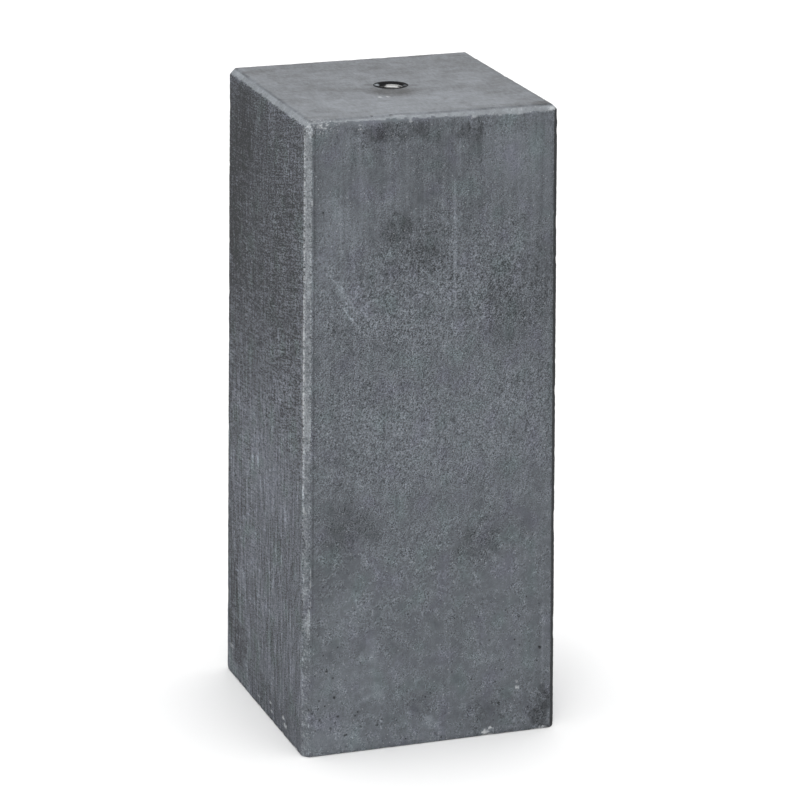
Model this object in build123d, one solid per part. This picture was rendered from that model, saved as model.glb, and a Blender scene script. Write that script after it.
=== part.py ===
from build123d import *
import math
import os

# Square precast concrete pier block with a threaded steel socket cast into its top.
# Millimetres, +Z up, origin at the centre of the foot, front face towards -Y.

# Concrete block
top_side = 200.0             # side of the square top, over its upright faces
bottom_side = 208.0          # side of the square foot, wider by the draft of the mould
block_height = 500.0
edge_chamfer = 5.0           # leg of the chamfer on the upright and top edges

# Cast-in threaded socket, M20 coarse, flush with the top
thread_diameter = 20.0       # nominal diameter of the thread
thread_pitch = 2.5
thread_length = 38.0         # straight threaded wall below the countersink
countersink_diameter = 21.0  # mouth of the 90 degree countersink, at the top face
drill_point_angle = 118.0    # point left by the drill at the blind end
socket_diameter = 27.0
socket_length = 77.0
socket_tail_chamfer = 1.5
pin_height_in_socket = 18.0  # from the socket's tail end up to the cross hole's axis

# Round bar through the socket's tail, wholly inside the concrete
pin_diameter = 12.0
pin_length = 130.0
pin_end_chamfer = 1.0
pin_clearance = 1.75         # gap round the bar in the cross hole, filled with concrete

# Worked-out sizes
bore_radius = (thread_diameter - 1.0825 * thread_pitch) / 2   # crests of the thread
countersink_radius = countersink_diameter / 2
countersink_depth = countersink_radius - bore_radius
drill_point_depth = bore_radius / math.tan(math.radians(drill_point_angle / 2))
socket_radius = socket_diameter / 2
socket_tail = block_height - socket_length
pin_axis_height = socket_tail + pin_height_in_socket
cross_hole_radius = pin_diameter / 2 + pin_clearance
draft_angle = math.degrees(math.atan2(bottom_side - top_side, 2 * block_height))


def cast_form():
    """The block as its mould shapes it, before the steel takes its room."""
    base = Box(bottom_side, bottom_side, block_height,
               align=(Align.CENTER, Align.CENTER, Align.MIN))
    form = draft(base.faces().filter_by(Axis.Z, reverse=True), Plane.XY, draft_angle)
    foot_edges = form.edges().group_by(Axis.Z)[0]
    mould_edges = [edge for edge in form.edges() if edge not in foot_edges]
    return chamfer(mould_edges, edge_chamfer)


def turned(points):
    """Solid of revolution round Z from (radius, height) points of its half section."""
    outline = make_face(Polyline(*[(radius, 0, height) for radius, height in points],
                                 close=True))
    return revolve(outline, Axis.Z)


def bar_along_x(radius, length, height):
    """Round bar lying along X at a height above the foot."""
    return Pos(0, 0, height) * Rot(0, 90, 0) * Cylinder(radius, length)


def socket_blank():
    """Outside of the socket with its cross hole, before the thread's bore is drilled."""
    chamfer_height = socket_tail + socket_tail_chamfer
    blank = turned([
        (0, socket_tail),
        (socket_radius - socket_tail_chamfer, socket_tail),
        (socket_radius, chamfer_height),
        (socket_radius, block_height),
        (0, block_height),
    ])
    return blank - bar_along_x(cross_hole_radius, 2 * socket_diameter, pin_axis_height)


def threaded_bore():
    """Room inside the socket: countersink, straight thread wall and drill point."""
    wall_top = block_height - countersink_depth
    wall_bottom = wall_top - thread_length
    return turned([
        (0, block_height),
        (countersink_radius, block_height),
        (bore_radius, wall_top),
        (bore_radius, wall_bottom),
        (0, wall_bottom - drill_point_depth),
    ])


def threaded_socket():
    return socket_blank() - threaded_bore()


def anchor_pin():
    bar = bar_along_x(pin_diameter / 2, pin_length, pin_axis_height)
    return chamfer(bar.edges().filter_by(GeomType.CIRCLE), pin_end_chamfer)


def pier_block():
    """The casting: concrete all round the socket, and through its cross hole."""
    return cast_form() - socket_blank() - anchor_pin()


os.makedirs("parts", exist_ok=True)
for node in (pier_block, threaded_socket, anchor_pin):
    export_step(node(), f"parts/{node.__name__}.step")
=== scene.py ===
import math
import random

import bmesh
import bpy
from bpy.props import FloatProperty, FloatVectorProperty, IntProperty, PointerProperty
from bpy.types import Operator, Panel, PropertyGroup
from mathutils import Matrix, Vector, kdtree, noise


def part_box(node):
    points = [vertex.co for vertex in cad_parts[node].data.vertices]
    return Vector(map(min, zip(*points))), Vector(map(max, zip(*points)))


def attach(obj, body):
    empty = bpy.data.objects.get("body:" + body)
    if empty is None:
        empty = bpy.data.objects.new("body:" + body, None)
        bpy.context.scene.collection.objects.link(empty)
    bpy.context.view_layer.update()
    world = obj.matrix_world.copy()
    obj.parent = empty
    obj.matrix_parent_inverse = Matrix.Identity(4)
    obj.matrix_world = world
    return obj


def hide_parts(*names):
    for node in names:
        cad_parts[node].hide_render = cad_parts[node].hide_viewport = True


bl_info = {
    "name": "Deck pier block",
    "version": (1, 0, 0),
    "blender": (4, 5, 0),
    "location": "View3D > Sidebar > Pier block",
    "description": "A cast concrete deck pier with a threaded steel socket in its top",
    "category": "Object",
}

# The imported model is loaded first, so that the defaults below can come from it.
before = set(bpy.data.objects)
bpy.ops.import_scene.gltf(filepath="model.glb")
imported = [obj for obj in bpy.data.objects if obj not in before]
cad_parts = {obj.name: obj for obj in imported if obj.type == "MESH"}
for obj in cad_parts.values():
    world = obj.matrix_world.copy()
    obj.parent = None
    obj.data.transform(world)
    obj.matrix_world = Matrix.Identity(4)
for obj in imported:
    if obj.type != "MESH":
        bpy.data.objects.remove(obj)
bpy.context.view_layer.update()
BLOCK_LOW, BLOCK_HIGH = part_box("pier_block")
SOCKET_LOW, SOCKET_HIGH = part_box("threaded_socket")
PIN_LOW, PIN_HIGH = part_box("anchor_pin")

MM = 0.001
X_AXIS, Y_AXIS, Z_AXIS = (1.0, 0.0, 0.0), (0.0, 1.0, 0.0), (0.0, 0.0, 1.0)
ROOT_2 = math.sqrt(2.0)

# Form of the thread: depth for each unit of pitch, tilt of a flank and angle of the drill.
THREAD_DEPTH = 0.625 * math.sqrt(3) / 2
FLANK_TILT = math.radians(30)
DRILL_ANGLE = math.radians(118)

# Segments round each turned form.
SOCKET_STEPS, THREAD_STEPS, CROSS_STEPS, PIN_STEPS = 96, 72, 48, 40

# Points nearer than this are one point; a thread's turns meet less exactly.
MERGE, THREAD_MERGE = 1e-7, 5e-6

# Faces that meet at more than this many degrees keep a sharp edge.
SHARP_CONCRETE, SHARP_STEEL, SHARP_FLOOR = 34, 28, 30

# How far a mark reaches into the block, in mm.
TONE_REACH, STREAK_REACH = 24, 9


# ---- sizes and colours a user would change

def length(label, says, default):
    return FloatProperty(name=label, description=says, default=default, min=0.0,
                         unit="LENGTH", precision=5)


def share(label, says, default):
    return FloatProperty(name=label, description=says, default=default, min=0.0, max=4.0,
                         subtype="FACTOR")


def tint(label, says, default):
    return FloatVectorProperty(name=label, description=says, default=default, size=3,
                               min=0.0, max=1.0, subtype="COLOR")


class PierBlockSizes(PropertyGroup):
    """Lengths of the cast block and of the socket in its top."""
    bottom_side: length("Bottom side", "Width of the block at its foot",
                        BLOCK_HIGH.x - BLOCK_LOW.x)
    top_side: length("Top side", "Width of the block at its top", 200 * MM)
    height: length("Height", "Height of the block", BLOCK_HIGH.z - BLOCK_LOW.z)
    chamfer: length("Chamfer", "Leg of the chamfer along the arrises", 5 * MM)
    coarse_step: length("Face step", "Mesh step in the middle of a face", 5 * MM)
    fine_step: length("Arris step", "Mesh step along the arrises", 1 * MM)
    waviness: length("Waviness", "How far the cast faces wander", 0.16 * MM)
    arris_wear: share("Arris wear", "How ragged the arrises are", 1.0)
    pore_count: IntProperty(name="Pores", description="Air holes scattered on each side face",
                            default=26, min=0, max=200)
    seed: IntProperty(name="Seed", description="Seed of the scattered marks", default=11)
    socket_diameter: length("Socket diameter", "Outer diameter of the steel socket",
                            SOCKET_HIGH.x - SOCKET_LOW.x)
    socket_length: length("Socket length", "Length of the steel socket",
                          SOCKET_HIGH.z - SOCKET_LOW.z)
    socket_tail_chamfer: length("Socket tail chamfer", "Chamfer at the socket's lower end",
                                1.5 * MM)
    countersink_diameter: length("Countersink", "Mouth of the threaded hole", 21 * MM)
    thread_diameter: length("Thread diameter", "Nominal diameter of the thread", 20 * MM)
    thread_pitch: length("Thread pitch", "Rise of one turn of the thread", 2.5 * MM)
    thread_length: length("Thread length", "Depth of the full thread", 38 * MM)
    pin_diameter: length("Pin diameter", "Diameter of the anchor pin", PIN_HIGH.y - PIN_LOW.y)
    pin_length: length("Pin length", "Length of the anchor pin", PIN_HIGH.x - PIN_LOW.x)
    pin_end_chamfer: length("Pin end chamfer", "Chamfer at the pin's ends", 1 * MM)
    pin_clearance: length("Pin clearance", "Room round the pin in the socket", 1.75 * MM)


class PierBlockColours(PropertyGroup):
    """Colours of the concrete and the steel."""
    cast_grey: tint("Cast grey", "Side faces of the concrete", (0.097, 0.1065, 0.1195))
    violet_grey: tint("Violet grey", "Bluer clouds of the side faces", (0.094, 0.099, 0.120))
    teal_grey: tint("Teal grey", "Greener clouds of the side faces", (0.091, 0.109, 0.117))
    trowelled_grey: tint("Trowelled grey", "Smooth top face", (0.1135, 0.1235, 0.137))
    damp_grey: tint("Damp grey", "Darker clouds of the side faces", (0.069, 0.0768, 0.084))
    # also the colour of the painted gleams on the socket's rim
    worn_and_gleam_grey: tint("Worn grey", "Chamfers and rubbed arrises", (0.185, 0.200, 0.214))
    lime: tint("Lime", "White specks, chips and salts", (0.44, 0.455, 0.47))
    # dull steel of the rim, also the painted shade deep in the hole and on the thread
    dull_steel_and_shade: tint("Dull steel", "Rim and outside of the socket", (0.012, 0.012, 0.013))
    # painted highlight: the near-white colour of the cut thread
    painted_thread_highlight: tint("Bright steel", "Cut thread", (0.97, 0.97, 0.96))
    bar_steel: tint("Bar steel", "Plain bar of the anchor pin", (0.33, 0.32, 0.31))
    floor: tint("Floor", "Floor of the studio", (0.86, 0.86, 0.86))


class PierBlockStage(PropertyGroup):
    """Light of the plain studio."""
    overhead: FloatProperty(name="Overhead light", description="Strength of the soft light above",
                            default=2.9, min=0.0)
    front: FloatProperty(name="Front light", description="Power of the front softbox",
                         default=68.0, min=0.0, unit="POWER")
    back: FloatProperty(name="Back light", description="Power of the softbox behind",
                        default=14.0, min=0.0, unit="POWER")
    ambient: FloatProperty(name="Ambient", description="Strength of the pale surroundings",
                           default=0.32, min=0.0)


# ---- camera of the photograph, in millimetres and degrees round the block

VIEW_AZIMUTH = -19.2477
VIEW_ELEVATION = 17.282
VIEW_ROLL = 0.3702
VIEW_DISTANCE = 3106.526
VIEW_SHIFT_RIGHT = 8.6847
VIEW_HEIGHT = 248.0
VIEW_LENS = 178.617
SENSOR_WIDTH = 36.0


# ---- shader maths

class Wire:
    """One output socket. Arithmetic on it adds Math nodes."""

    def __init__(self, finish, socket):
        self.finish, self.socket = finish, socket

    def __add__(self, other):
        return self.finish.math("ADD", self, other)

    __radd__ = __add__

    def __sub__(self, other):
        return self.finish.math("SUBTRACT", self, other)

    def __rsub__(self, other):
        return self.finish.math("SUBTRACT", other, self)

    def __mul__(self, other):
        return self.finish.math("MULTIPLY", self, other)

    __rmul__ = __mul__

    def __truediv__(self, other):
        return self.finish.math("DIVIDE", self, other)

    def __abs__(self):
        return self.finish.math("ABSOLUTE", self)


class Finish:
    """One material and the nodes that make it."""

    def __init__(self, name, target=None):
        self.material = target or bpy.data.materials.new(name)
        self.material.use_nodes = True
        self.tree = self.material.node_tree
        self.tree.nodes.clear()

    def node(self, kind, settings=None, inputs=None, out=0):
        made = self.tree.nodes.new(kind)
        for key, value in (settings or {}).items():
            setattr(made, key, value)
        for key, value in (inputs or {}).items():
            if isinstance(value, Wire):
                self.tree.links.new(value.socket, made.inputs[key])
            else:
                made.inputs[key].default_value = value
        return Wire(self, made.outputs[out]) if made.outputs else made

    def math(self, operation, *values):
        return self.node("ShaderNodeMath", {"operation": operation},
                         dict(enumerate(values)))

    def least(self, first, *others):
        for other in others:
            first = self.math("MINIMUM", first, other)
        return first

    def most(self, first, *others):
        for other in others:
            first = self.math("MAXIMUM", first, other)
        return first

    def rise(self, value, low, high, start=0.0, end=1.0):
        """Smooth step from start at low to end at high."""
        return self.node("ShaderNodeMapRange", {"interpolation_type": "SMOOTHSTEP"},
                         {0: value, 1: low, 2: high, 3: start, 4: end})

    def vector(self, operation, *values, out=0):
        return self.node("ShaderNodeVectorMath", {"operation": operation},
                         dict(enumerate(values)), out)

    def scaled(self, value, factor):
        return self.node("ShaderNodeVectorMath", {"operation": "SCALE"},
                         {0: value, "Scale": factor})

    def here(self):
        """The place on the piece, in mm."""
        return self.vector("MULTIPLY", self.node("ShaderNodeTexCoord", out="Object"),
                           (1 / MM,) * 3)

    def cells(self, place, spacing):
        """Distance from scattered points, in units of their spacing."""
        return self.node("ShaderNodeTexVoronoi", {"feature": "F1"},
                         {"Vector": place, "Scale": 1 / spacing, "Randomness": 1.0},
                         out="Distance")

    def axes(self, value):
        split = self.node("ShaderNodeSeparateXYZ", None, {0: value})
        parts = split.socket.node.outputs
        return [Wire(self, parts[i]) for i in range(3)]

    def joined(self, x, y, z):
        return self.node("ShaderNodeCombineXYZ", None, {0: x, 1: y, 2: z})

    def cloud(self, place, grain, detail=2.0, rough=0.55, distort=0.0, shift=0.0):
        """Noise from -1 to 1 whose lumps measure grain, one length or three, in mm."""
        grain = grain if isinstance(grain, tuple) else (grain,) * 3
        inverse = tuple(1.0 / g for g in grain)
        moved = self.node("ShaderNodeVectorMath", {"operation": "MULTIPLY_ADD"},
                          {0: place, 1: inverse, 2: (shift, shift * 0.7, shift * 1.3)})
        value = self.node("ShaderNodeTexNoise", {"noise_dimensions": "3D"},
                          {"Vector": moved, "Scale": 1.0, "Detail": detail,
                           "Roughness": rough, "Distortion": distort})
        return value * 2.0 - 1.0

    def turned(self, place, axis, degrees, centre=(0.0, 0.0, 0.0)):
        return self.node("ShaderNodeVectorRotate", {"rotation_type": "AXIS_ANGLE"},
                         {"Vector": place, "Center": centre, "Axis": axis,
                          "Angle": math.radians(degrees)})

    def blend(self, factor, first, second):
        return self.node("ShaderNodeMix", {"data_type": "RGBA"},
                         {0: factor, 6: first, 7: second}, out=2)

    def spots(self, place, marks, axis=None):
        """Sum of soft ellipsoids: centre, half sizes, strength and lean about the axis."""
        total = 0.0
        for centre, half, strength, *lean in marks:
            inverse = tuple(1.0 / h for h in half)
            moved = tuple(-c / h for c, h in zip(centre, half))
            at = place
            if lean:
                at = self.turned(place, axis, lean[0], centre)
            local = self.node("ShaderNodeVectorMath", {"operation": "MULTIPLY_ADD"},
                              {0: at, 1: inverse, 2: moved})
            away = self.vector("LENGTH", local, out="Value")
            total = total + self.rise(away, 0.35, 1.15, strength, 0.0)
        return total

    def surface(self, colour, roughness, height=None, bump_depth=0.0, metallic=0.0,
                specular=0.5):
        values = {"Base Color": colour, "Roughness": roughness, "Metallic": metallic,
                  "Specular IOR Level": specular}
        if height is not None:
            values["Normal"] = self.node("ShaderNodeBump", None,
                                         {"Strength": 1.0, "Distance": bump_depth,
                                          "Height": height})
        shader = self.node("ShaderNodeBsdfPrincipled", None, values)
        self.node("ShaderNodeOutputMaterial", None, {"Surface": shader})
        return self.material


def rgba(colour, factor=1.0):
    return (*(part * factor for part in colour), 1.0)


def on_face(sizes, axis, thick, marks):
    """Marks given across the left (0), front (1) or top (2) face, as spots on that face."""
    height, foot = sizes.height / MM, sizes.bottom_side / MM / 2
    taper = (foot - sizes.top_side / MM / 2) / height
    found = []
    for across, up, half_across, half_up, *rest in marks:
        centre, half = [across, up], [half_across, half_up]
        centre.insert(axis, height if axis == 2 else up * taper - foot)
        half.insert(axis, thick)
        found.append((centre, half, *rest))
    return found


# ---- marks that the photograph shows, in mm
# On a side face: place across and up, half width, half height and strength, above 0 lighter.
# On the top: place in x and y, half sizes and strength.

FRONT_TONES = [
    (-24, 488, 44, 13, -0.36), (31, 488, 16, 12, -0.3), (30, 474, 12, 16, -0.22),
    (-27, 415, 18, 14, -0.26), (-8, 392, 18, 15, -0.26), (-14, 398, 40, 34, -0.16),
    (-40, 470, 26, 26, -0.12), (62, 351, 32, 46, -0.24), (90, 349, 12, 96, -0.12),
    (-78, 402, 12, 48, 0.13), (-64, 420, 24, 26, 0.13), (6, 254, 90, 44, 0.12),
    (-68, 184, 32, 24, -0.26), (39, 158, 23, 25, -0.26), (-82, 207, 17, 16, -0.08),
    (-74, 118, 25, 27, 0.16), (-56, 56, 44, 24, 0.14), (-50, 82, 7, 16, 0.26),
    (-46, 44, 12, 8, 0.24), (-7, 38, 15, 8, -0.2), (38, 21, 12, 8, -0.18), (33, 9, 10, 5, -0.16),
    (93, 17, 12, 26, -0.55), (70, 12, 40, 26, -0.1), (1, 14, 10, 8, 0.42), (-25, 25, 8, 6, 0.16),
    (24, 32, 7, 16, 0.14), (68, 462, 22, 26, 0.12), (17, 406, 6, 22, 0.2), (9, 356, 10, 11, 0.14),
    (-75, 18, 26, 16, 0.18), (-2, 456, 27, 36, -0.18), (48, 425, 50, 46, -0.1),
    (-82, 150, 22, 34, -0.14), (58, 133, 30, 30, 0.08), (60, 60, 26, 22, 0.08),
]
LEFT_TONES = [
    (66, 457, 45, 66, -0.36), (87, 356, 25, 84, -0.36), (0, 401, 170, 136, -0.42),
    (50, 320, 40, 60, -0.14), (6, 199, 65, 48, 0.26), (-54, 194, 40, 40, 0.08),
    (42, 112, 45, 40, 0.1), (-3, 103, 60, 24, 0.12), (100, 262, 24, 70, -0.36),
    (96, 440, 14, 70, -0.14), (74, 33, 34, 24, -0.42), (90, 90, 22, 80, -0.24),
    (3, 12, 75, 14, -0.28), (-69, 333, 20, 48, -0.08), (-94, 385, 22, 90, 0.16),
    (82, 90, 24, 40, -0.24),
]
TOP_TONES = [
    (-5, -21, 22, 21, -0.85), (0, 70, 130, 60, -0.12), (58, -91, 36, 7, -0.12),
    (88, -91, 10, 9, -0.5), (29, 36, 9, 8, -0.24), (8, 62, 7, 7, -0.24), (-26, -64, 104, 44, 0.32),
    (-16, 6, 7, 4.5, -0.5), (16, -5, 7, 4.5, -0.4), (-33, 47, 26, 14, 0.09),
    (54, 38, 26, 15, -0.08), (-76, -12, 26, 14, 0.06),
]
# Centre, half sizes and strength.
LIME_SPECKS = [
    ((71, -104, 37), (2.2, 4, 1.8), 0.9), ((71, -104, 42), (1.5, 4, 1.5), 0.6),
    ((45, -104, 3), (3.1, 5, 2.6), 1.2), ((49, -104, 6), (2.1, 5, 1.8), 1.2),
    ((93, -104, 1.2), (4.6, 5, 0.9), 0.8), ((-58, -100, 492), (1.5, 4, 1.2), 0.6),
    ((94, -98, 497), (3.4, 5, 1.6), 1.0), ((-102, -101, 197), (3, 2.4, 6), 0.8),
    ((-104, -19, 14), (5, 4, 1.5), 0.8), ((-104, -22, 8), (5, 4, 1.7), 0.8),
    ((-104, -52, 14), (5, 4, 1.5), 0.9), ((-104, -57, 9), (5, 4.6, 2.4), 1.0),
    ((-104, 12, 8), (5, 4, 1.3), 0.5), ((-104, 86, 24), (5, 7, 2.0), 0.5),
    ((-21, -36, 500), (1.7, 3.4, 4), 1.0), ((-15, -37, 500), (1.4, 3.2, 4), 0.8),
]
# Lighter and darker stretches of the near upright chamfer.
SCUFFS = [
    ((-101, -101, 268), (8, 8, 22), 0.5), ((-98, -103, 108), (4, 8, 18), 1.1),
    ((-101, -101, 350), (10, 10, 62), -0.24), ((-101, -102, 215), (9, 9, 34), -0.2),
]
# Light grains round the near corner of the top.
GRIT = [((-90, -98, 497), (26, 9, 10), 1.0), ((-98, -80, 497), (9, 26, 8), 0.7)]
# The direction across the opening in which its painted thread shade and dirt change.
SHADE_AND_DIRT_LINE = (0.944, -0.33)
# Painted gleams on the rim of the steel socket.
RIM_GLEAMS = [((-8.6, 3.4, 499), (4.0, 4.2, 5.0), 1.3), ((9.5, -3.6, 499), (3, 4, 3), 0.3)]
# Painted shade in pits: centre and radius.
PAINTED_PIT_SHADE = [
    ((-95, -100, 490), 1.5), ((-97, -101, 336), 1.5), ((-97, -102, 248), 1.4),
    ((-98, -103, 202), 1.4), ((-98, -103, 122), 1.4), ((-99, -104, 39), 1.7),
    ((-99, -104, 16), 1.6), ((-47, -93, 500), 2.0), ((-32, -94, 500), 2.0),
    ((-87, -101, 431), 1.3), ((-74, -102, 218), 1.3), ((90, -103, 68), 1.6),
    ((-85, -103, 69), 1.3), ((-80, -103, 63), 1.2), ((-79, -104, 47), 1.5),
    ((-76, -104, 31), 1.3), ((-44, -104, 20), 1.3), ((-70, -104, 15), 1.6),
    ((-91, -104, 30), 1.5), ((-69, -104, 5), 1.3), ((56, -104, 26), 1.4),
    ((-82, -104, 22), 1.3), ((-62, -104, 30), 1.2), ((72, -103, 96), 1.4),
]
# Straight scratches and streaks: as the tones, then any lean from upright, in degrees.
FRONT_STREAKS = [
    (7, 432, 1.3, 26, 0.44), (17, 392, 1.9, 64, 0.46), (15, 60, 1.1, 38, 0.28),
    (-81, 362, 1.1, 50, 0.36), (-67, 350, 1.0, 13, 1.3, 38), (-70, 365, 3.6, 21, 0.66, 29),
    (-54, 356, 2.6, 11, 0.66, -57), (67, 4, 0.9, 13, 0.4, 72), (-25, 208, 1.8, 5, 0.3, 20),
    (92, 70, 0.9, 70, 0.3), (36, 489, 0.8, 7, -0.3, 12), (28, 487, 0.8, 8, -0.3, 8),
]
LEFT_STREAKS = [
    (62, 94, 2.2, 17, 0.8), (-5, 201, 2.4, 11, 0.7), (45, 163, 2.2, 21, 0.7),
    (-54, 183, 2.2, 11, 0.7), (37, 143, 2.2, 8, 0.7), (70, 53, 20, 1.0, 0.7),
    (82, 180, 5, 30, 0.3), (20, 215, 2, 34, 0.5), (-20, 235, 1.6, 30, 0.5),
    (64, 60, 3, 16, 0.5, 10), (-12, 89, 24, 1.1, 0.7, -5), (-10, 130, 1.9, 16, 0.7, 18),
]


# ---- materials

def concrete(sizes, colours):
    f = Finish("cast_concrete")
    mm = f.here()
    x, y, z = f.axes(mm)
    height, chamfer = sizes.height / MM, sizes.chamfer / MM
    bottom, top = sizes.bottom_side / MM / 2, sizes.top_side / MM / 2
    half = bottom - z * ((bottom - top) / height)
    from_x = half - abs(x)
    from_y = half - abs(y)
    from_top = height - z

    # which face a point lies on
    top_face = f.rise(from_top, 0.5, 1.6, 1, 0)
    faces_y = f.rise(from_y, 0.5, 1.4, 1, 0)
    faces_x = f.rise(from_x, 0.5, 1.4, 1, 0) * (1 - faces_y)
    near_share = f.rise(y, -40, 30, 1, 0)
    near_arris = f.rise(x, -60, 0, 1, 0) * f.rise(y, -60, 0, 1, 0)
    # painted shade: darkens the right-front chamfer, which faces away from the light
    painted_side_shade = f.rise(x, 60, 95) * f.rise(y, -60, -95)

    # clouds of every size
    wide = f.cloud(mm, (70, 70, 95), 3, 0.55, 0.6)
    middle = f.cloud(mm, (19, 19, 26), 3, 0.6, 0.4, shift=3.1)
    small = f.cloud(mm, 6, 3, 0.6, shift=7.7)
    crumbs = f.cloud(mm, 3.1, 2, 0.7, shift=5.3)
    grain = f.cloud(mm, 1, 1, 0.8, shift=1.9)
    speckle = f.cloud(mm, 1.8, 1, 0.8, shift=12.3)

    # how deep below the cast surface a point lies
    depth = f.least(from_x, from_y, from_top,
                    (from_x + from_y - chamfer) / ROOT_2,
                    (from_x + from_top - chamfer) / ROOT_2,
                    (from_y + from_top - chamfer) / ROOT_2)
    worn_off = f.most(depth, 0) * 1.6

    # the chamfers; the lower edge of the upper ones is scalloped
    nearest_side = f.least(from_x, from_y)
    nick = f.most(small * 2.6 + crumbs * 1.4, -0.3)
    upright = (f.rise(from_x + from_y - worn_off, chamfer + 0.3, chamfer + 0.8, 1, 0)
               * f.rise(from_x - from_y, chamfer - 1, chamfer, 1, 0))
    front_rim = f.rise(from_y - from_x, 2, -2)
    nick = nick + front_rim * f.rise(x, 70, -95, 0, 2.2)
    upper = (f.rise(from_top + nearest_side - worn_off, chamfer + 0.3, chamfer + 0.9, 1, 0)
             * (1 - top_face) * f.rise(nearest_side - nick, 0.4, 1.4))

    # chips show their lighter inside; pores get painted shade
    by_arris = f.rise(f.least(f.most(from_x, from_y), from_top + nearest_side, z + nearest_side),
                      8, 12, 1, 0)
    broken = f.rise(depth + speckle * 0.25, 0.42, 0.8) * by_arris
    painted_pore_shade = f.rise(depth, 0.32, 0.7) * (1 - by_arris)

    # placed marks get ragged outlines from a little wandering of the place itself
    def bent(scale, reach, detail):
        wander = f.node("ShaderNodeTexNoise", {"noise_dimensions": "3D"},
                        {"Vector": mm, "Scale": scale, "Detail": detail}, out="Color")
        return f.vector("MULTIPLY_ADD", wander, (2 * reach,) * 3,
                        f.vector("ADD", mm, (-reach,) * 3))
    fine_bent, wide_bent = bent(0.5, 2, 2), bent(0.09, 22, 4)

    # front and back: ticks that rise steeply to the right
    leaning = f.turned(mm, Y_AXIS, -28)
    ticks = f.cloud(leaning, (1.1, 1.1, 3.8), 1, 0.7, shift=2.2)
    runs = f.cloud(mm, (3.4, 3.4, 70), 3, 0.6, 0.15, shift=4.4)
    rough_belt = f.spots(mm, [
        ((0, -101, 285), (150, 30, 150), 0.75), ((0, 101, 250), (150, 30, 150), 0.75),
        ((40, -101, 400), (50, 20, 60), 0.35), ((-40, -101, 360), (70, 20, 60), 0.16)])
    clusters = f.cloud(mm, (8, 8, 9), 2, 0.5, 0.8, shift=31)
    coarse = f.most(0.48 + rough_belt * 0.64 + middle * 0.6
                    + clusters * f.rise(z, 130, 240, 1.5, 0.5), 0.12)
    salt = f.most(speckle * 0.5 + grain * 0.5 - 0.12, 0) * 1.6
    sides_y = ((grain * 1.9 + ticks * 0.7 + crumbs * 0.42 + salt) * coarse
               + runs * f.rise(z, 150, 420, 0.14, 0.42))

    # left and right: woven look of upright streaks and rows of dashes
    warp = f.cloud(mm, (3.4, 3.4, 30), 2, 0.7, shift=8.1)
    rising = f.turned(mm, X_AXIS, 12)
    side_grain = f.cloud(rising, (3.6, 3.6, 1.1), 1, 0.8, shift=2.7)
    weft = f.cloud(rising, (30, 30, 1.7), 2, 0.8, shift=9.2)
    slants = f.cloud(f.turned(mm, X_AXIS, 4), (24, 24, 1.9), 2, 0.7, shift=6.5)
    dash_belt = near_share * f.rise(z, 190, 270)
    woven = (f.most(0.78 + middle * 0.5 + clusters * 0.7, 0.25) * f.rise(z, 20, 90, 0.8, 1.12)
             * f.rise(x, -10, 10, 1, 0.6))
    scribble = f.most(warp * 0.8 + slants * 0.5 + crumbs * 0.5 - 0.12, 0) * 1.4
    sides_x = (warp * f.rise(z, 310, 220, 0.75, 1.5)
               + side_grain * (1.7 + dash_belt * 1.3) * f.rise(z, 220, 300, 1.05, 1)
               + weft * dash_belt * 1.6
               - f.most(side_grain - 0.16, 0) * dash_belt * 1.6
               + slants * ((1 - near_share) * 0.8)
               + scribble * f.rise(z, 300, 200, 0.4, 1.6)) * woven

    # thin arcs, left where something dragged over the surface
    arcs = f.cloud(mm, (16, 16, 12), 1, 0.5, 1.2, shift=15.1)
    arc = f.rise(abs(arcs), 0, 0.035, 1, 0) * f.rise(middle + small * 0.6, 0.1, 0.5)

    # top: smears and patches left by the trowel
    smears = f.cloud(mm, (26, 10, 30), 3, 0.65, 0.5, shift=3.7)
    top_grain = f.cloud(mm, (2.2, 6, 6), 2, 0.8, shift=4.1)
    patches = f.cloud(mm, (16, 28, 30), 2, 0.5, 1, shift=17.4)
    top_tone = smears * 0.6 + patches * 0.45 + top_grain * 0.6 + small * 0.3

    tones = (f.spots(wide_bent, on_face(sizes, 1, TONE_REACH, FRONT_TONES)) * faces_y
             + f.spots(wide_bent, on_face(sizes, 0, TONE_REACH, LEFT_TONES)) * faces_x
             + f.spots(fine_bent, on_face(sizes, 2, STREAK_REACH, TOP_TONES)) * top_face)
    streaks = (f.spots(fine_bent, on_face(sizes, 1, STREAK_REACH, FRONT_STREAKS), Y_AXIS)
               + f.spots(fine_bent, on_face(sizes, 0, STREAK_REACH, LEFT_STREAKS), X_AXIS))
    streaks = streaks * (0.7 + speckle * 1.4)
    arc = arc * (1 - top_face) * (0.22 + faces_x * f.rise(z, 300, 200, 0, 0.4))
    tone = (1 + tones + streaks + arc
            + (wide * 0.14 + middle * (0.34 - faces_x * 0.16) + small * 0.24
               + clusters * f.rise(z, 120, 220, 0.32, 0.10)) * (1 - top_face)
            + sides_y * faces_y + sides_x * faces_x + top_tone * top_face
            + (grain * 0.7 + speckle * 0.4) * upright)
    # painted shade of tiny pinholes, dark dots with no hole in the mesh
    painted_pinhole_shade = f.rise(f.cells(mm, 8), 0.06, 0.12, 1, 0) * f.rise(z, 60, 200, 0.85, 0.15)
    # painted shade along the foot and painted light on the lower faces above it, most on the
    # front's left part
    painted_foot_shade_and_light = (f.rise(z + crumbs * 3, 1.5, 4.5, 0.16, 0) - f.rise(z, 5, 26, 0.14, 0)
                 - faces_y * f.rise(x, 60, -20) * f.rise(z, 10, 90, 0.11, 0))
    # painted shade in the pits
    pits = f.spots(mm, [(place, (radius,) * 3, 0.75) for place, radius in PAINTED_PIT_SHADE])
    tone = f.most(tone - painted_foot_shade_and_light - painted_pinhole_shade * (1 - top_face) - pits, 0.2)
    # painted shade darkens the pores
    tone = tone * (1 - painted_pore_shade * 0.75)
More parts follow.
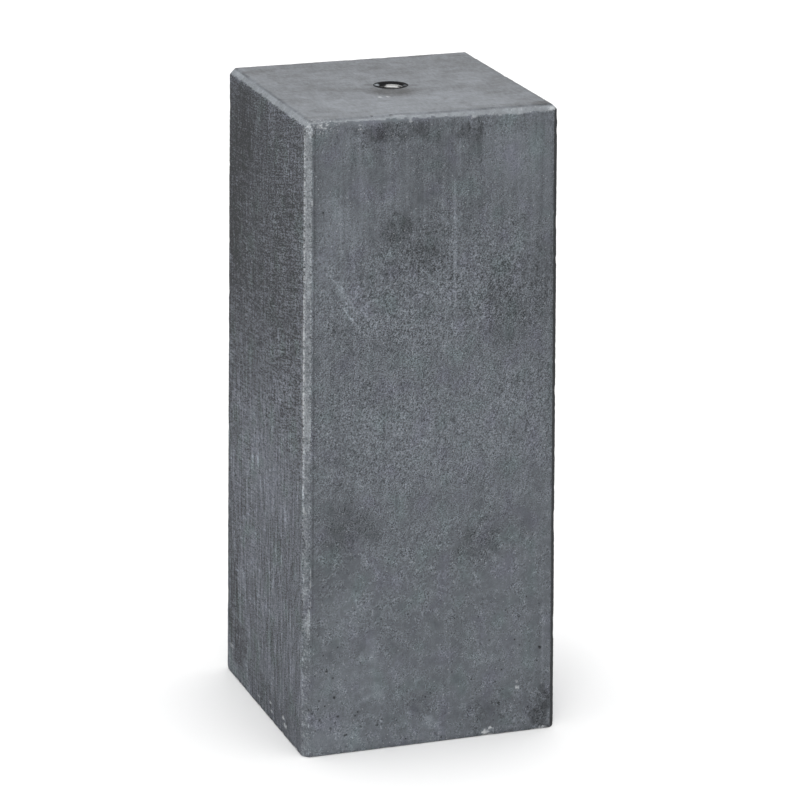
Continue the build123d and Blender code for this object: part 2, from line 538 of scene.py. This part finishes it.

    # chamfers: lighter, the near one with a bright line on its left and a line of painted shade, as
    # of a groove, on its right; the right one gets painted shade
    bright_line = upright * near_arris * f.rise(from_y - from_x, 1.2, 5.6)
    worn = upright * (0.80 + speckle * 1.1 + small * 0.8 + f.rise(z, 60, 420, -0.62, 0.25)
                      + f.spots(mm, SCUFFS) - painted_side_shade * 1.2
                      - near_arris * f.rise(from_x - from_y, -2, 5, 0, 0.22))
    worn = f.least(f.most(worn, upper * (0.8 + crumbs * 0.8), 0), 1)
    line_share = f.rise(z, 165, 200, 0, 0.2) + f.rise(z, 245, 285, 0, 0.7)
    spill = (faces_x * near_arris * f.rise(from_y + crumbs * 6, chamfer, chamfer + 7, 0.6, 0)
             * f.rise(abs(z - 290), 40, 80, 1, 0.15))
    glow = (bright_line * line_share + spill) * f.most(0.34 + speckle * 0.9 + small * 0.7, 0)
    # painted shade: a dark line on the front face beside the near chamfer, as in a groove
    painted_groove_shade = (faces_y * near_arris * f.rise(abs(from_x - chamfer - 1.9), 0.3, 1.1, 1, 0)
              * f.rise(z, 90, 160, 0.3, 1) * (0.30 + crumbs * 0.6))
    brim = f.rise(abs(from_top + nearest_side - chamfer), 0.1, 0.7, 1, 0) * top_face
    peppered = (f.most(crumbs * 0.5 + speckle - 0.16, 0) * top_face * f.rise(from_y, 24, 8)
                * f.rise(x, -10, 50, 0.25, 1))
    far_rim = f.rise(f.least(half - x, half - y), chamfer + 0.6, chamfer + 3, 1, 0) * top_face
    brim = brim * (0.04 + small * 0.5) + far_rim * (0.26 + small * 0.5)
    # painted shade on the right chamfer and in the groove line, darker far edges of the top, and
    # dark specks of dirt near its front edge
    painted_shade_and_dirt = (upright * painted_side_shade * (1 - faces_y) * 0.84 + f.most(painted_groove_shade, 0)
              + f.most(brim, 0) + peppered * 0.55)

    colour = f.blend(f.rise(wide + middle * 0.6, 0.05, 0.75), rgba(colours.cast_grey),
                     rgba(colours.damp_grey))
    hue = f.cloud(mm, (18, 18, 22), 1, 0.4, shift=21)
    # random hue clouds; the faces_x shares give the left and right faces a painted tint of their
    # bluer side light
    colour = f.blend(f.rise(hue, 0.05, 0.5, 0, 0.8) + faces_x * 0.7, colour,
                     rgba(colours.violet_grey))
    colour = f.blend(f.rise(hue, -0.05, -0.5, 0, 0.8) + faces_x * 0.2, colour,
                     rgba(colours.teal_grey))
    colour = f.blend(top_face, colour, rgba(colours.trowelled_grey))
    colour = f.blend(worn, colour, rgba(colours.worn_and_gleam_grey))
    lift = 1 + upper * (0.30 - front_rim * f.rise(x, -10, 80, 0.12, 0.27))
    colour = f.scaled(colour, tone * (1 - painted_shade_and_dirt) * lift)
    fleck = f.rise(f.cells(mm, 5.2), 0.05, 0.12, 0.4, 0)
    lime = (f.spots(fine_bent, LIME_SPECKS) * (0.8 + speckle) + fleck * (1 - top_face)
            + broken * 0.3 + f.most(glow, 0))
    lime = (lime + f.most(speckle - 0.25, 0) * upper * 1.2
            + f.most(speckle - 0.1, 0) * f.spots(mm, GRIT) * 1.6)
    lime = f.least(f.most(lime, 0), 1)
    colour = f.blend(lime, colour, rgba(colours.lime))

    roughness = 0.82 - top_face * 0.32 - upper * 0.12 + small * 0.06 + grain * 0.05
    roughness = roughness + broken * 0.15
    relief = (grain * 0.4 + ticks * faces_y * 0.5 + warp * faces_x * 0.3
              + weft * faces_x * dash_belt * 0.3 + crumbs * 0.4)
    relief = relief * (1 - top_face * 0.85)
    return f.surface(colour, roughness, relief, 0.0005, specular=0.4)


def socket_steel(sizes, colours):
    f = Finish("socket_steel")
    mm = f.here()
    x, y, z = f.axes(mm)
    radius = f.math("SQRT", x * x + y * y)
    top = sizes.height / MM
    sink = top - (sizes.countersink_diameter - sizes.thread_diameter) / MM - 0.8

    # the cut thread is painted near-white as its highlight near the mouth, and painted shade turns
    # it dark deep in the hole
    cut = (f.rise(z, sink, sink + 0.5, 1, 0) * f.rise(radius, 10.3, 10.8, 1, 0)
           * f.rise(z, top - 17, top - 8, 0.12, 1))
    blotches = f.cloud(mm, 3.4, 3, 0.6)
    turning = f.cloud(f.joined(radius, radius, z), 0.35, 2)
    # painted shade darkens the thread left and right across the opening, leaving its middle bright;
    # blotches add dirt
    across = x * SHADE_AND_DIRT_LINE[0] + y * SHADE_AND_DIRT_LINE[1] + blotches * 2.2
    thread_shade_and_dirt = (f.rise(across, -2.6, -4.6) + f.rise(across, 5.2, 8.2, 0, 0.75)
            + f.rise(blotches, 0.3, 0.7, 0, 0.3))
    colour = f.blend(cut, rgba(colours.dull_steel_and_shade), rgba(colours.painted_thread_highlight))
    # painted shade in the roots of the thread
    painted_root_shade = f.rise(radius, 9.4, 9.9) * f.rise(z, top - 1.9, top - 2.2)
    colour = f.blend(f.least(thread_shade_and_dirt, 1) * cut * 0.93, colour, rgba(colours.dull_steel_and_shade))
    colour = f.scaled(colour, 1 - painted_root_shade * 0.15)
    # painted highlight: the gleams are lighter grey spots on the rim, not lit metal
    rubbed = f.spots(mm, RIM_GLEAMS) * (0.8 + blotches * 1.2)
    rubbed = f.least(f.most(rubbed, 0), 1)
    colour = f.blend(rubbed, colour, rgba(colours.worn_and_gleam_grey, 1.4))
    roughness = 0.9 - cut * 0.55 + blotches * 0.08 + turning * 0.05
    return f.surface(colour, roughness, turning, 0.00004, metallic=cut * (1 - rubbed) * 0.15,
                     specular=0.1)


def bar_steel(colours):
    f = Finish("bar_steel")
    mm = f.here()
    scale = f.cloud(mm, (9, 2.2, 2.2), 3, 0.6)
    drawn = f.cloud(mm, (30, 0.5, 0.5), 2)
    colour = f.blend(f.rise(scale, -0.3, 0.8), rgba(colours.bar_steel),
                     rgba(colours.bar_steel, 0.6))
    return f.surface(colour, 0.48 + scale * 0.12, drawn, 0.00005, metallic=0.9)


def floor_paper(colours):
    f = Finish("studio_paper")
    mm = f.here()
    fibre = f.cloud(mm, 2, 2)
    colour = f.blend(f.rise(f.cloud(mm, 400, 2), -1, 1), rgba(colours.floor),
                     rgba(colours.floor, 0.985))
    return f.surface(colour, 0.9, fibre, 0.00005, specular=0.2)


# ---- mesh helpers

def all_geometry(bm):
    return [*bm.verts, *bm.edges, *bm.faces]


def cut_across(bm, axis, places):
    """Cuts the whole mesh at each place along one axis."""
    direction = Vector([1.0 if i == axis else 0.0 for i in range(3)])
    for place in places:
        bmesh.ops.bisect_plane(bm, geom=all_geometry(bm), dist=MERGE,
                               plane_co=direction * place, plane_no=direction)


def linked(name, data):
    """A new object in the scene."""
    made = bpy.data.objects.new(name, data)
    bpy.context.scene.collection.objects.link(made)
    return made


def finished(name, bm, material, angle):
    """Makes the object: smooth faces, sharp where they meet at more than angle."""
    mesh = bpy.data.meshes.new(name)
    bm.to_mesh(mesh)
    bm.free()
    mesh.materials.append(material)
    mesh.shade_smooth()
    mesh.set_sharp_from_angle(angle=math.radians(angle))
    return linked(name, mesh)


def carved(bm, cutters):
    """The mesh less the cutters, each a closed bmesh, as a new bmesh."""
    def holder(source):
        if not all(edge.is_manifold for edge in source.edges):
            raise ValueError("a mesh to carve is not closed")
        mesh = bpy.data.meshes.new("carving")
        source.to_mesh(mesh)
        return linked("carving", mesh)

    body = holder(bm)
    tools = [holder(cutter) for cutter in cutters]
    for tool in tools:
        change = body.modifiers.new("carve", "BOOLEAN")
        change.operation, change.solver, change.object = "DIFFERENCE", "MANIFOLD", tool
    graph = bpy.context.evaluated_depsgraph_get()
    result = bmesh.new()
    result.from_object(body, graph)
    for used in [body, *tools]:
        mesh = used.data
        bpy.data.objects.remove(used)
        bpy.data.meshes.remove(mesh)
    return result


def turned_form(profile, steps, axis=Z_AXIS, centre=(0.0, 0.0, 0.0)):
    """A closed solid of revolution about Z from (radius, height) pairs, then laid on axis."""
    bm = bmesh.new()
    corners = [bm.verts.new((radius, 0.0, height)) for radius, height in profile]
    lines = [bm.edges.new(pair) for pair in zip(corners, corners[1:])]
    bmesh.ops.spin(bm, geom=[*corners, *lines], cent=(0, 0, 0), axis=Z_AXIS,
                   angle=2 * math.pi, steps=steps, use_merge=True, dvec=(0, 0, 0))
    bmesh.ops.remove_doubles(bm, verts=bm.verts, dist=MERGE)
    bmesh.ops.recalc_face_normals(bm, faces=bm.faces)
    turn = Vector(Z_AXIS).rotation_difference(Vector(axis)).to_matrix().to_4x4()
    bmesh.ops.transform(bm, matrix=Matrix.Translation(centre) @ turn, verts=bm.verts)
    return bm


# ---- the concrete block

# Chips on the arrises: a point near the arris, length and depth, in mm.
CHIPS = [
    ((-96, -104, 0), 6, 0.7), ((45, -104, 0.5), 8, 1.2),
    ((49, -104, 1), 6, 0.9), ((87, -104, 0), 12, 0.9), ((-102.5, -97.5, 198), 10, 1.1),
    ((-19, -100, 495), 8, 0.8), ((32, -100, 495), 8, 0.7),
    ((52, -100, 495), 5, 0.7), ((-58, -100, 495), 5, 0.8), ((-88, -100, 495), 12, 0.6),
    ((-98, -99, 496), 6, 0.8), ((100, 97, 496), 9, 1.8), ((101, 101, 240), 12, 1.6),
    ((104, 60, 0), 16, 1.8), ((20, 104, 0), 14, 1.6), ((-104, 99, 0), 12, 2.2),
    ((-101, 98, 350), 9, 1.2), ((-60, 100, 496), 9, 1.0), ((103, -99, 90), 8, 1.1),
]
# Air holes on the faces: place, radius and depth, in mm.
PORES = [
    ((-87, -101, 431), 1.0, 1.2), ((-74, -102, 218), 1.0, 1.2), ((90, -103, 68), 1.3, 1.5),
    ((-85, -103, 69), 0.9, 1.0), ((-80, -103, 63), 0.8, 0.9), ((-79, -104, 47), 1.2, 1.3),
    ((-76, -104, 31), 0.9, 1.0), ((-44, -104, 20), 0.9, 1.0), ((-70, -104, 15), 1.4, 1.4),
    ((40, -104, 14), 1.0, 1.1), ((56, -104, 26), 0.9, 1.0), ((52, -104, 20), 1.2, 1.2),
    ((-7, -104, 39), 0.9, 0.9), ((20, -70, 500), 0.7, 0.8), ((-60, 30, 500), 0.6, 0.7),
    ((-104, -34, 12), 1.2, 1.2), ((-104, 40, 22), 1.0, 1.0),
]
# Small air holes in the fine strips beside the near upright chamfer: place and depth, in mm.
ARRIS_PITS = [
    ((-95, -100, 490), 1.3), ((-96.3, -101.3, 336), 1.4), ((-97, -102, 248), 1.2),
    ((-97.4, -102.4, 202), 1.2), ((-98, -103, 122), 1.2), ((-98.5, -103.5, 62), 1.5),
    ((-98.7, -103.7, 39), 1.4), ((-98.9, -103.9, 16), 1.4), ((-91.5, -103.8, 32), 1.1),
    ((-92, -103.9, 21), 1.2), ((-101, -102, 12), 1.1), ((96, -103, 68), 1.2),
    ((-100.3, -97, 410), 1.0), ((-47, -94.5, 500), 1.2), ((-32, -94.6, 500), 1.2),
]


def block_grid(sizes):
    """The straight cast form with all its cuts, still without its taper."""
    half, chamfer, height = sizes.top_side / 2, sizes.chamfer, sizes.height
    fine, coarse = sizes.fine_step, sizes.coarse_step
    bm = bmesh.new()
    bmesh.ops.create_cube(bm, size=1.0)
    bmesh.ops.scale(bm, vec=(2 * half, 2 * half, height), verts=bm.verts)
    bmesh.ops.translate(bm, vec=(0, 0, height / 2), verts=bm.verts)
    sharp = [e for e in bm.edges if max(v.co.z for v in e.verts) > fine]
    bmesh.ops.bevel(bm, geom=sharp, offset=chamfer, offset_type="OFFSET", segments=1,
                    profile=0.5, affect="EDGES", material=-1)
    over_chamfer = [fine * i for i in range(1, round(chamfer / fine))]
    beside = [chamfer + fine * i for i in (1, 2, 3, 5)]
    across = [half - step for step in over_chamfer + beside]
    across += [-place for place in across]
    rows = [height - step for step in over_chamfer + beside] + [fine, 2 * fine, 3 * fine, chamfer]
    cut_across(bm, 0, across)
    cut_across(bm, 1, across)
    cut_across(bm, 2, rows)

    def along(edge, axis, least):
        a, b = (v.co for v in edge.verts)
        gap = b - a
        return abs(gap[axis]) > 0.99 * gap.length and gap.length > least

    for axis in range(3):
        open_edges = [e for e in bm.edges if along(e, axis, 10 * coarse)]
        parts = round(open_edges[0].calc_length() / coarse)
        bmesh.ops.subdivide_edges(bm, edges=open_edges, cuts=parts - 1, use_grid_fill=True)

    band = half - 2 * chamfer - fine / 10
    low, high = chamfer + fine / 10, height - 2 * chamfer - fine / 10

    def outer(edge, axis):
        return all(abs(v.co[axis]) > band for v in edge.verts)

    def split(chosen):
        bmesh.ops.subdivide_edges(bm, edges=chosen, cuts=round(coarse / fine) - 1,
                                  use_grid_fill=True)

    split([e for e in bm.edges if along(e, 2, 0.8 * coarse) and outer(e, 0) and outer(e, 1)])
    for axis, other in ((0, 1), (1, 0)):
        split([e for e in bm.edges if along(e, axis, 0.8 * coarse) and outer(e, other)
               and all(v.co.z > high or v.co.z < low for v in e.verts)])
    mouth = sizes.socket_diameter / 2 + 2 * coarse
    around = [e for e in bm.edges
              if all(v.co.z > height - fine / 10 and max(abs(v.co.x), abs(v.co.y)) < mouth
                     for v in e.verts)]
    bmesh.ops.subdivide_edges(bm, edges=around, cuts=3, use_grid_fill=True)
    return bm


def arris_pull(co, sizes):
    """How far wear takes a point near an arris inwards, in metres."""
    half, chamfer = sizes.top_side / 2, sizes.chamfer
    share_up = 1.0 - co.z / sizes.height
    grown = half + (sizes.bottom_side - sizes.top_side) / 2 * share_up
    ax, ay, az = grown - abs(co.x), grown - abs(co.y), sizes.height - co.z
    lines = [math.hypot(ax, co.z), math.hypot(ay, co.z)]
    for a, b in ((ax, ay), (ax, az), (ay, az)):
        lines += [math.hypot(a - chamfer, b), math.hypot(a, b - chamfer)]
    near = min(lines) / MM
    if near > 3.5:
        return 0.0
    at = co / MM
    fine_noise = noise.noise(at / 2.1) * 0.5 + 0.5
    wide_noise = noise.noise(at / 9.0 + Vector((5, 3, 1)))
    nick = max(0.0, wide_noise - 0.26) * 1.5
    reach = max(0.0, 1.0 - near / (1.6 + nick * 1.6))
    return (0.12 + 0.26 * fine_noise + nick) * reach * reach * MM * sizes.arris_wear


def point_tree(bm):
    """The mesh's points and a tree that finds them by place."""
    points = list(bm.verts)
    tree = kdtree.KDTree(len(points))
    for index, v in enumerate(points):
        tree.insert(v.co, index)
    tree.balance()
    return points, tree


def scoop(bm, chips, sizes):
    """Breaks shell-shaped chips out of the arrises."""
    points, tree = point_tree(bm)
    side = sizes.bottom_side / 2 * 0.93
    for place, span, deep in chips:
        at = Vector(place) * MM
        outward = Vector([math.copysign(1.0, at[axis]) if abs(at[axis]) > side else 0.0
                          for axis in (0, 1)] + [0.0])
        if at.z > sizes.height - 2 * sizes.chamfer:
            outward.z = 1.0
        elif at.z < 2 * sizes.chamfer:
            outward.z = -1.0
        outward.normalize()
        radius = (span * span / 4 + deep * deep) / (2 * deep) * MM
        middle = at + outward * (radius - deep * MM)
        for _, index, _ in tree.find_range(at, span * MM):
            v = points[index]
            away = v.co - middle
            reach = radius * (1.0 + 0.05 * noise.noise(v.co / MM / 2.2))
            if away.length < reach:
                v.co = middle + away.normalized() * reach


def prick(bm, pits):
    """Sinks single points of the fine grid along the arrises into small air holes."""
    points, tree = point_tree(bm)
    for place, deep in pits:
        v = points[tree.find(Vector(place) * MM)[1]]
        v.co -= v.normal * deep * MM


def bore_pores(bm, pores):
    """Sinks round air holes into the faces, each from the grid point next to its place."""
    open_grid = [v for v in bm.verts if len(v.link_edges) == 4
                 and min(e.calc_length() for e in v.link_edges) > 2.2 * MM]
    taken, groups = set(), {}
    for place, radius, deep in pores:
        at = Vector(place) * MM
        nearest = min(open_grid, key=lambda v: (v.co - at).length_squared)
        around = {nearest, *(e.other_vert(nearest) for e in nearest.link_edges)}
        if (nearest.co - at).length > 6 * MM or around & taken:
            continue
        taken |= around
        slide = at - nearest.co
        slide -= nearest.normal * slide.dot(nearest.normal)
        if slide.length > 1.6 * MM:
            slide = slide.normalized() * 1.6 * MM
        nearest.co += slide
        groups.setdefault((radius, deep), []).append(nearest)
    for (radius, deep), chosen in groups.items():
        made = bmesh.ops.bevel(bm, geom=chosen, offset=radius * MM, offset_type="OFFSET",
                               segments=2, profile=0.5, affect="VERTICES", material=-1,
                               clamp_overlap=True)
        for inwards, down in ((0.18, 0.6), (0.3, 0.4)):
            bmesh.ops.inset_region(bm, faces=made["faces"], thickness=radius * inwards * MM,
                                   depth=-deep * MM * down, use_even_offset=True)


def scattered_pores(sizes):
    """Seeded air holes for every side face, fewer and smaller than the placed ones."""
    draw = random.Random(sizes.seed)
    half, height = sizes.bottom_side / 2 / MM, sizes.height / MM
    found = []
    for axis, sign in ((1, -1), (1, 1), (0, -1), (0, 1)):
        for _ in range(sizes.pore_count):
            point = [0.0, 0.0, 10 + (height - 30) * draw.random() ** 1.5]
            point[1 - axis] = draw.uniform(-86, 86)
            point[axis] = sign * (half - (4 * point[2] / height))
            found.append((tuple(point), draw.choice((0.55, 0.75, 1.0)), 0.8))
    return found


def block_mesh(sizes):
    bm = block_grid(sizes)
    half, chamfer, height = sizes.top_side / 2, sizes.chamfer, sizes.height
    growth = (sizes.bottom_side - sizes.top_side) / 2
    straight = half - 2 * chamfer
    for v in bm.verts:
        grow = growth * (1.0 - v.co.z / height)
        for axis in (0, 1):
            share_out = min(1.0, abs(v.co[axis]) / straight)
            v.co[axis] += math.copysign(grow * share_out, v.co[axis])
    bm.normal_update()
    mouth = sizes.socket_diameter / 2
    for v in bm.verts:
        at = v.co / MM
        radial = math.hypot(v.co.x, v.co.y)
        inward = arris_pull(v.co, sizes)
        wander = noise.fractal(at / 75.0, 0.8, 2.1, 3) * sizes.waviness
        wander -= sizes.waviness * 0.9
        if v.normal.z > 0.9:
            calm = min(1.0, max(0.0, radial - mouth) / (30 * MM))
            dish = max(0.0, 1.0 - abs(radial - 15.6 * MM) / (2.4 * MM))
            v.co.z += (wander * 0.5 - 0.02 * MM) * calm - 0.12 * MM * dish - inward
            continue
        if v.normal.z < -0.9:
            rough = noise.fractal(at / 9.0, 0.7, 2.0, 4) * 0.5 + 0.5
            v.co.z += abs(rough) * 0.7 * MM + inward
            continue
        v.co += v.normal * (wander - inward)
    scoop(bm, CHIPS, sizes)
    bm.normal_update()
    prick(bm, ARRIS_PITS)
    bore_pores(bm, PORES + scattered_pores(sizes))
    return bm


def socket_blank(sizes):
    """The outside of the socket with its cross hole, which the concrete fills."""
    radius, top = sizes.socket_diameter / 2, sizes.height
    tail = top - sizes.socket_length
    blank = turned_form([(0, tail), (radius - sizes.socket_tail_chamfer, tail),
                         (radius, tail + sizes.socket_tail_chamfer), (radius, top), (0, top)],
                        SOCKET_STEPS)
    hole, reach = sizes.pin_diameter / 2 + sizes.pin_clearance, radius * 1.4
    cross = turned_form([(0, -reach), (hole, -reach), (hole, reach), (0, reach)],
                        CROSS_STEPS, X_AXIS, (0, 0, pin_height()))
    return carved(blank, [cross])


def pin_height():
    return (PIN_LOW.z + PIN_HIGH.z) / 2


def pin_form(sizes):
    radius, reach, end = sizes.pin_diameter / 2, sizes.pin_length / 2, sizes.pin_end_chamfer
    return turned_form([(0, -reach), (radius - end, -reach), (radius, end - reach),
                        (radius, reach - end), (radius - end, reach), (0, reach)],
                       PIN_STEPS, X_AXIS, (0, 0, pin_height()))


def crest_radius(sizes):
    return sizes.thread_diameter / 2 - sizes.thread_pitch * THREAD_DEPTH


def thread_tap(sizes, steps):
    """A closed rod with the outside of the thread, longer than the hole at its top."""
    root, pitch = sizes.thread_diameter / 2, sizes.thread_pitch
    crest = crest_radius(sizes)
    flank = (root - crest) * math.tan(FLANK_TILT)
    bottom = sizes.height - sizes.thread_length
    turns = math.ceil(sizes.thread_length / pitch) + 3
    start = bottom - pitch * 1.5
    profile = [(crest, 0), (crest, pitch / 4), (root, pitch / 4 + flank),
               (root, pitch * 3 / 8 + flank), (crest, pitch)]
    bm = bmesh.new()
    corners = [bm.verts.new((radius, 0, rise)) for radius, rise in profile]
    lines = [bm.edges.new(pair) for pair in zip(corners, corners[1:])]
    bmesh.ops.spin(bm, geom=[*corners, *lines], cent=(0, 0, 0), axis=Z_AXIS,
                   angle=2 * math.pi * turns, steps=steps * turns, use_merge=False,
                   dvec=(0, 0, pitch / steps))
    bmesh.ops.remove_doubles(bm, verts=bm.verts, dist=THREAD_MERGE)
    bmesh.ops.translate(bm, vec=(0, 0, start), verts=bm.verts)
    for place, side in ((bottom, -1), (sizes.height + pitch / 2, 1)):
        bmesh.ops.bisect_plane(bm, geom=all_geometry(bm), dist=MERGE, plane_co=(0, 0, place),
                               plane_no=(0, 0, side), clear_outer=True)
        rim = [e for e in bm.edges if e.is_boundary
               and all(abs(v.co.z - place) < 1e-6 for v in e.verts)]
        bmesh.ops.contextual_create(bm, geom=rim)
    bmesh.ops.triangulate(bm, faces=[f for f in bm.faces if len(f.verts) > 4])
    bmesh.ops.recalc_face_normals(bm, faces=bm.faces)
    return bm


def socket_mesh(sizes):
    tap = thread_tap(sizes, THREAD_STEPS)
    crest = crest_radius(sizes)
    mouth, top, over = sizes.countersink_diameter / 2, sizes.height, 1 * MM
    sink = turned_form([(0, top - (mouth - crest)), (crest, top - (mouth - crest)),
                        (mouth + over, top + over), (0, top + over)], THREAD_STEPS)
    floor = top - sizes.thread_length
    point, inside, lap = crest / math.tan(DRILL_ANGLE / 2), crest - 0.02 * MM, 0.5 * MM
    drill = turned_form([(0, floor - point), (inside, floor), (inside, floor + lap),
                         (0, floor + lap)], THREAD_STEPS)
    return carved(socket_blank(sizes), [tap, sink, drill])


# ---- operators

class PIER_OT_block(Operator):
    """Cast concrete block with chamfers, chips, air holes and the pocket of the socket"""
    bl_idname = "pier.block"
    bl_label = "Concrete block"

    def execute(self, context):
        sizes, colours = context.scene.pier_sizes, context.scene.pier_colours
        bm = carved(block_mesh(sizes), [socket_blank(sizes), pin_form(sizes)])
        block = finished("concrete_block", bm, concrete(sizes, colours), SHARP_CONCRETE)
        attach(block, "root")
        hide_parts("pier_block")
        return {"FINISHED"}


class PIER_OT_socket(Operator):
    """Threaded steel socket, cast in flush with the top"""
    bl_idname = "pier.socket"
    bl_label = "Threaded socket"

    def execute(self, context):
        sizes, colours = context.scene.pier_sizes, context.scene.pier_colours
        socket = finished("thread_socket", socket_mesh(sizes), socket_steel(sizes, colours),
                          SHARP_STEEL)
        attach(socket, "root")
        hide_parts("threaded_socket")
        return {"FINISHED"}


class PIER_OT_pin(Operator):
    """Steel finish for the anchor pin, which is the frame's own solid"""
    bl_idname = "pier.pin"
    bl_label = "Anchor pin"

    def execute(self, context):
        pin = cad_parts["anchor_pin"]
        pin.material_slots[0].material = bar_steel(context.scene.pier_colours)
        return {"FINISHED"}


class PIER_OT_stage(Operator):
    """Pale floor, soft lights and the camera of the photograph"""
    bl_idname = "pier.stage"
    bl_label = "Studio stage"

    def execute(self, context):
        scene, light = context.scene, context.scene.pier_stage
        bm = bmesh.new()
        bmesh.ops.create_grid(bm, x_segments=8, y_segments=8, size=12.0)
        bmesh.ops.translate(bm, vec=(0, 0, -0.2 * MM), verts=bm.verts)
        floor = finished("studio_floor", bm, floor_paper(scene.pier_colours), SHARP_FLOOR)

        def softbox(name, power, at, towards, width, depth):
            lamp = bpy.data.lights.new(name, "AREA")
            lamp.shape, lamp.size, lamp.size_y, lamp.energy = "RECTANGLE", width, depth, power
            held = linked(name, lamp)
            held.location = at
            held.rotation_euler = (Vector(towards) - Vector(at)).to_track_quat("-Z", "Y").to_euler()
            held.visible_camera = False

        softbox("front_softbox", light.front, (-1.5, -3.3, 1.1), (0, 0, 0.25), 2.0, 2.0)
        softbox("back_softbox", light.back, (1.2, 3.6, 1.5), (0, 0, 0.4), 2.6, 1.4)
        sky = bpy.data.lights.new("overhead_light", "SUN")
        sky.energy, sky.angle = light.overhead, math.radians(40)
        linked("overhead_light", sky).location = (0, 0, 3)

        world = bpy.data.worlds.new("pale_room")
        room = Finish("pale_room", world)
        shade = room.node("ShaderNodeBackground", None,
                          {"Color": (1, 1, 1, 1), "Strength": light.ambient})
        room.node("ShaderNodeOutputWorld", None, {"Surface": shade})
        scene.world = world

        azimuth, lift = math.radians(VIEW_AZIMUTH), math.radians(VIEW_ELEVATION)
        roll = math.radians(VIEW_ROLL)
        back = Vector((math.sin(azimuth) * math.cos(lift), -math.cos(azimuth) * math.cos(lift),
                       math.sin(lift)))
        right = Vector((math.cos(azimuth), math.sin(azimuth), 0))
        up = back.cross(right)
        tilted = right * math.cos(roll) + up * math.sin(roll)
        upright = up * math.cos(roll) - right * math.sin(roll)
        target = Vector((0, 0, VIEW_HEIGHT * MM)) + tilted * VIEW_SHIFT_RIGHT * MM
        camera = bpy.data.cameras.new("photo_camera")
        camera.lens, camera.sensor_width, camera.clip_end = VIEW_LENS, SENSOR_WIDTH, 100.0
        eye = linked("photo_camera", camera)
        turn = Matrix((tilted, upright, back)).transposed().to_4x4()
        eye.matrix_world = Matrix.Translation(target + back * VIEW_DISTANCE * MM) @ turn
        scene.camera = eye
        scene.view_settings.view_transform = "Standard"
        scene.cycles.use_denoising = True
        return {"FINISHED"}


OPERATORS = (PIER_OT_block, PIER_OT_socket, PIER_OT_pin, PIER_OT_stage)


class PIER_PT_parts(Panel):
    """Lists the pieces of the deck pier block"""
    bl_idname = "PIER_PT_parts"
    bl_label = "Deck pier block"
    bl_space_type = "VIEW_3D"
    bl_region_type = "UI"
    bl_category = "Pier block"

    def draw(self, context):
        for piece in OPERATORS:
            self.layout.operator(piece.bl_idname)
        for group in (context.scene.pier_sizes, context.scene.pier_colours,
                      context.scene.pier_stage):
            box = self.layout.box()
            for name in group.__annotations__:
                box.prop(group, name)


GROUPS = {"pier_sizes": PierBlockSizes, "pier_colours": PierBlockColours,
          "pier_stage": PierBlockStage}


def register():
    for kind in (*GROUPS.values(), *OPERATORS, PIER_PT_parts):
        bpy.utils.register_class(kind)
    for name, group in GROUPS.items():
        setattr(bpy.types.Scene, name, PointerProperty(type=group))


def unregister():
    for name in GROUPS:
        delattr(bpy.types.Scene, name)
    for kind in reversed((*GROUPS.values(), *OPERATORS, PIER_PT_parts)):
        bpy.utils.unregister_class(kind)


def main():
    register()
    bpy.ops.pier.block()
    bpy.ops.pier.socket()
    bpy.ops.pier.pin()
    bpy.ops.pier.stage()


if __name__ == "__main__":
    main()
